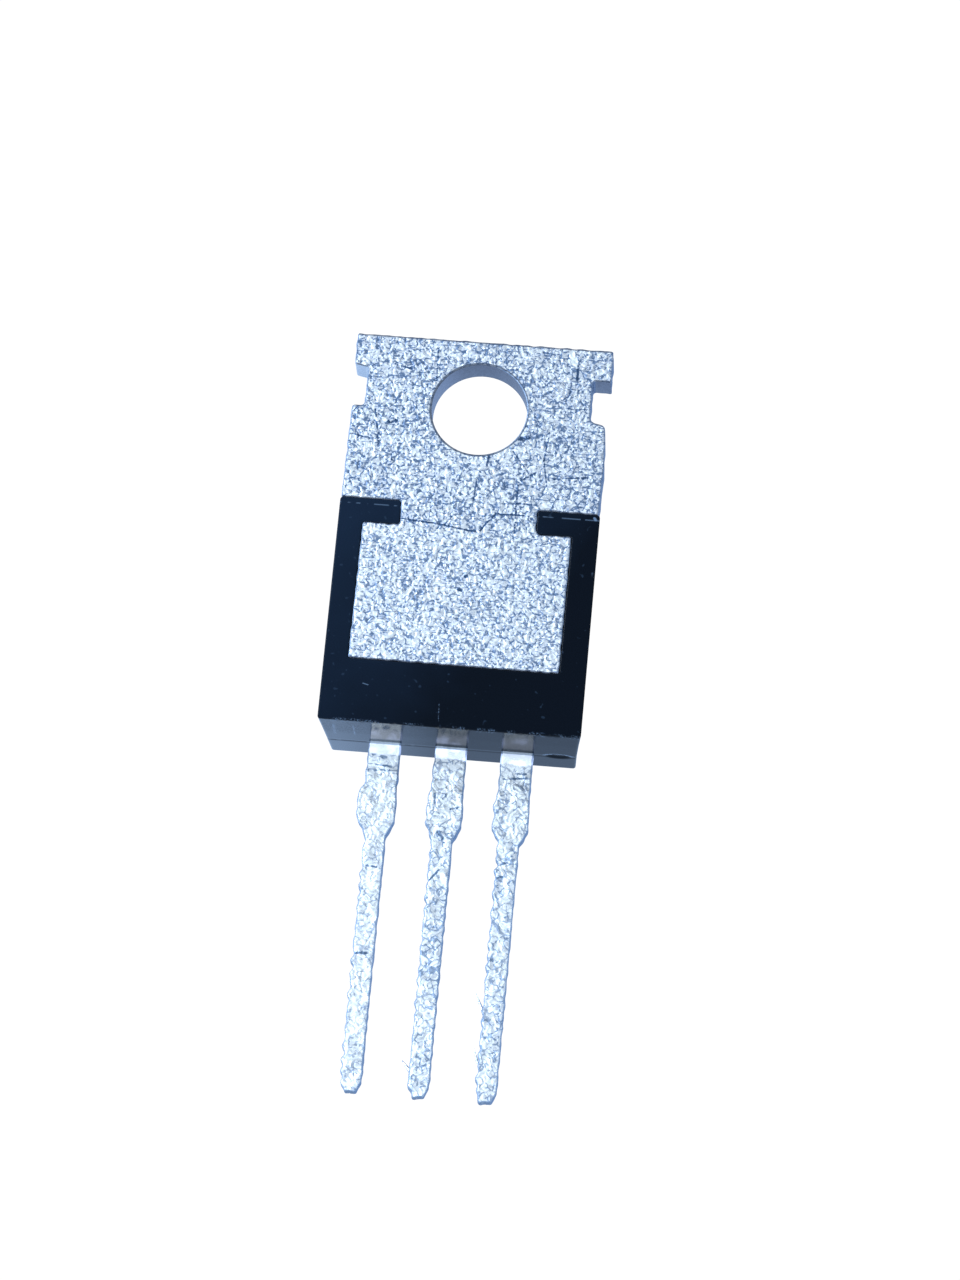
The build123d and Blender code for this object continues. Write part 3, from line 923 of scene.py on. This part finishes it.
def make_body(epoxy):
    """Moulded body: drafted walls, a parting line, the pad's recess, a scar on the lead-end wall."""
    half, top, low = BODY_HIGH.x, BODY_TOP, BODY_END
    block = ((-half, top, 0.12), (-half, low, 0.1), (half, low, 0.1), (half, top, 0.12))
    pad = recess_corners()
    whole = rounded((*block, *pad), BODY_STEP)
    neck_right, neck_left = np.array(pad[0][:2]), np.array(pad[-1][:2])
    outer = cut_between(whole, neck_left, neck_right)
    recess = cut_between(whole, neck_right, neck_left)[1:-1]
    share = np.linspace(0, 1, 60)[1:-1, None]
    across = outer[-1] * (1 - share) + outer[0] * share
    points, faces = [], []

    def drafted(ring, side, end):
        """A ring with its sides, its lead end and the wall at the tab leaning in."""
        x = ring[:, 0] * (half - side) / half
        y = ring[:, 1] + end * np.clip((top - 4 - ring[:, 1]) / 4, 0, 1)
        return np.c_[x, y - 0.2 * max(side - 0.1, 0) * np.clip((ring[:, 1] + 8) / 4, 0, 1)]

    def add(ring, height):
        """Adds a ring's points and returns their numbers."""
        first = len(points)
        points.extend((x, y, height) for x, y in ring)
        return list(range(first, first + len(ring)))

    def wall(upper, lower):
        """Joins two rings that have the same number of points."""
        for i in range(len(upper)):
            j = (i + 1) % len(upper)
            faces.append((upper[i], lower[i], lower[j], upper[j]))

    edge = np.vstack([outer, recess])
    normals = inward(edge)
    rough = wandering(edge, 1.0, 5, (0.15, 0.9))
    push = ((rough - edge) * normals).sum(1)
    at_end = np.clip((low + 0.3 - edge[:, 1]) / 0.3, 0, 1)
    chips = np.clip(push - 0.4, 0, 2) * at_end * CHIP_DEEP
    # Down to the tab's front face the rings run round the pad too; below it they close behind it
    previous, opened = None, True
    for height, inset, side, end in body_levels():
        if opened:
            fade = max(0.0, 1 + height / CHIP_REACH)
            shifted = edge + normals * (inset + chips * fade)[:, None]
            ids = add(drafted(shifted[: len(outer)], side, end), height)
            if height < -TAB_THICK + RING_STEP:
                deep = add(shifted[len(outer) :], height)
                wall(previous, ids + deep)
                line = add(drafted(across, side, end), height)
                rim_ids = [ids[-1]] + deep + [ids[0]] + line[::-1]
                rim = np.array([points[i][:2] for i in rim_ids])
                fill_cap(points, faces, rim, rim_ids, height, 0.5, 1)
                previous, opened = ids + line, False
                continue
            ids += add(shifted[len(outer) :], height)
            if previous is None:
                ring = np.array([points[i][:2] for i in ids])
                fill_cap(points, faces, ring, ids, height, 0.09, 1)
            else:
                wall(previous, ids)
            previous = ids
        else:
            ids = add(drafted(np.vstack([outer, across]), side, end), height)
            wall(previous, ids)
            previous = ids
    ring = np.array([points[i][:2] for i in previous])
    fill_cap(points, faces, ring, previous, points[previous[0]][2], 0.3, -1)
    piece = new_piece("mould_shell", end_wall_marks(np.array(points)), faces)
    piece.data.materials.append(epoxy)
    return piece


def fill_cap(points, faces, ring, ids, height, pitch, turn):
    """Closes one ring with a flat cap whose inner points are pitch apart."""
    grid, fill, _ = face_fill([ring], pitch)
    first = len(points)
    points.extend((x, y, height) for x, y in grid)
    number = list(ids) + list(range(first, first + len(grid)))
    faces.extend(tuple(number[i] for i in face[::turn]) for face in fill)


def end_wall_marks(place):
    """Parting line round the body and the oval scar where the epoxy ran in."""
    x, y, z = place.T
    outside = (y < BODY_END + 0.35) & (z < -0.1)
    groove = np.exp(-(((z - PARTING) / GROOVE_HALF) ** 2)) * GROOVE_DEEP
    oval = np.hypot((x - SCAR_X) / SCAR_LONG, (z - PARTING) / SCAR_HIGH)
    sunk = np.minimum(np.maximum(1.0 - oval, 0) * SCAR_SLOPE, SCAR_DEEP)
    wall_y = np.where(outside, y + groove + sunk, y)
    return np.c_[x, np.maximum(wall_y, BODY_END), z]


# ---------------------------------------------------------------- assembly

relief = tin_relief()
hairline = tuple((a, b, 0.05, 0.75) for a, b in zip(HAIRLINE, HAIRLINE[1:]))
tin = tinned_copper("tinned_copper", MARKS + hairline + CREASES)
epoxy = moulding_epoxy()
tab = make_tab(tin, relief)
middle = make_lead("mt2_blade", 0.0, 0.11, (-0.62, 0.62, -11.2, -10.3), 12, tin, relief, bent_to_pad)
fuse(tab, middle)
gate = make_lead("gate_blade", -LEAD_PITCH, 0.23, (-3.9, -1.035, -12.15, -10.95), 11, tin, relief)
mt1 = make_lead("mt1_blade", LEAD_PITCH, 0.1, (1.035, 4.2, -12.15, -10.95), 13, tin, relief)
add_whisker(mt1, (2.12, -23.0), (1.78, -22.3), 0.14)
add_whisker(mt1, (2.1, -25.0), (1.88, -24.35), 0.1)
add_whisker(tab, (-0.4, -25.5), (-0.73, -25.12), 0.16)
add_whisker(tab, (-0.4, -20.3), (-0.5, -20.0), 0.1)
body = make_body(epoxy)

for piece, node, slot in (
    (body, "mould_body", "epoxy"),
    (tab, "heatsink_tab", "tinned_copper"),
    (gate, "gate_lead", "tinned_copper"),
    (mt1, "mt1_lead", "tinned_copper"),
):
    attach(piece, "root")
    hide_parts(node)

# Buried nodes: finish, colour, metallic, roughness, size of the mottle and its strength
ALUMINIUM = (0.84, 0.85, 0.87)
for node, name, colour, metallic, roughness, size, spread in (
    ("triac_die", "silicon", (0.12, 0.12, 0.15), 0.3, 0.25, 0.4, 0.2),
    ("die_solder", "solder", (0.55, 0.54, 0.52), 1.0, 0.4, 0.15, 0.3),
    ("gate_wire", "thin_bond_wire", (0.85, 0.86, 0.88), 1.0, 0.3, 0.3, 0.1),
    ("mt1_wire_inner", "inner_bond_wire", ALUMINIUM, 1.0, 0.34, 0.3, 0.12),
    ("mt1_wire_outer", "outer_bond_wire", ALUMINIUM, 1.0, 0.34, 0.3, 0.12),
):
    finish = plain_finish(name, colour, metallic, roughness, size, spread)
    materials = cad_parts[node].data.materials
    materials.clear()
    materials.append(finish)

# ---------------------------------------------------------------- studio

# Lens length over a sensor 36 mm wide, then the camera's place, aim and upward direction
LENS, SENSOR = 133.7, 36.0
CAMERA_AT, CAMERA_AIM = Vector((11.09, -64.27, 171.15)), Vector((0.86, -9.29, 0))
CAMERA_UP = Vector((-0.0759, 0.9478, 0.3096))
# Bluish light thrown by the ground and the sky, which the camera itself sees as plain white
GROUND_LIGHT, SKY_LIGHT, WHITE = (0.38, 0.55, 0.84), (0.68, 0.83, 1.0, 1), 1.05
GROUND_HALF, GROUND_GAP = 0.6, 0.02 * MM
# Key lamp, in metres, high on the left
LAMP_AT, LAMP_AIM = Vector((-0.4, 0.1, 0.36)), Vector((0, -0.01, 0))
LAMP_POWER, LAMP_SIZE, LAMP_COLOUR = 4.5, 0.25, (0.7, 0.84, 1.0)


def look_from(camera, place, target, up):
    """Turns the camera at place towards target, with up nearly upwards in the picture."""
    forward = (target - place).normalized()
    side = forward.cross(up).normalized()
    turn = Matrix((side, side.cross(forward), -forward)).transposed()
    camera.matrix_world = Matrix.Translation(place) @ turn.to_4x4()


def studio():
    scene = bpy.context.scene
    scene.view_settings.view_transform = "Standard"
    lens = bpy.data.cameras.new("camera")
    lens.lens, lens.sensor_width, lens.clip_start = LENS, SENSOR, 0.005
    camera = bpy.data.objects.new("camera", lens)
    scene.collection.objects.link(camera)
    look_from(camera, CAMERA_AT * MM, CAMERA_AIM * MM, CAMERA_UP)
    scene.camera = camera

    floor_mesh = bpy.data.meshes.new("floor")
    level = cad_low.z - GROUND_GAP
    signs = ((-1, -1), (1, -1), (1, 1), (-1, 1))
    corners = [(x * GROUND_HALF, y * GROUND_HALF, level) for x, y in signs]
    floor_mesh.from_pydata(corners, [], [(0, 1, 2, 3)])
    floor = bpy.data.objects.new("floor", floor_mesh)
    scene.collection.objects.link(floor)
    material = bpy.data.materials.new("floor")
    g = bare_graph(material)
    watched = g.node("ShaderNodeLightPath")["Is Camera Ray"]
    colour = g.mix(watched, GROUND_LIGHT, (1, 1, 1))
    glow = g.node("ShaderNodeEmission", None, colour, WHITE)
    out = g.node("ShaderNodeOutputMaterial")
    feed(g, out.made.inputs["Surface"], glow[0])
    floor_mesh.materials.append(material)

    # The sky is dimmer to the right, and has a dark patch that the flat metal mirrors
    world = bpy.data.worlds.new("studio")
    scene.world = world
    g = bare_graph(world)
    heading = g.node("ShaderNodeTexCoord")["Generated"]
    east = g.node("ShaderNodeSeparateXYZ", None, heading)[0]
    toward = g.node("ShaderNodeVectorMath", {"operation": "DOT_PRODUCT"}, heading, (-0.06, 0.3, 0.95))
    strength = (1 - east * 0.25) * (1.6 - toward["Value"].step(0.78, 0.93) * 1.33)
    background = g.node("ShaderNodeBackground", None, SKY_LIGHT, strength)
    seen = g.node("ShaderNodeBackground", None, (1, 1, 1, 1), WHITE)
    watched = g.node("ShaderNodeLightPath")["Is Camera Ray"]
    both = g.node("ShaderNodeMixShader", None, watched, background[0], seen[0])
    out = g.node("ShaderNodeOutputWorld")
    feed(g, out.made.inputs["Surface"], both[0])

    lamp = bpy.data.lights.new("key", "AREA")
    lamp.energy, lamp.size, lamp.color = LAMP_POWER, LAMP_SIZE, LAMP_COLOUR
    light = bpy.data.objects.new("key", lamp)
    scene.collection.objects.link(light)
    look_from(light, LAMP_AT, LAMP_AIM, Vector((0, 0, 1)))


studio()
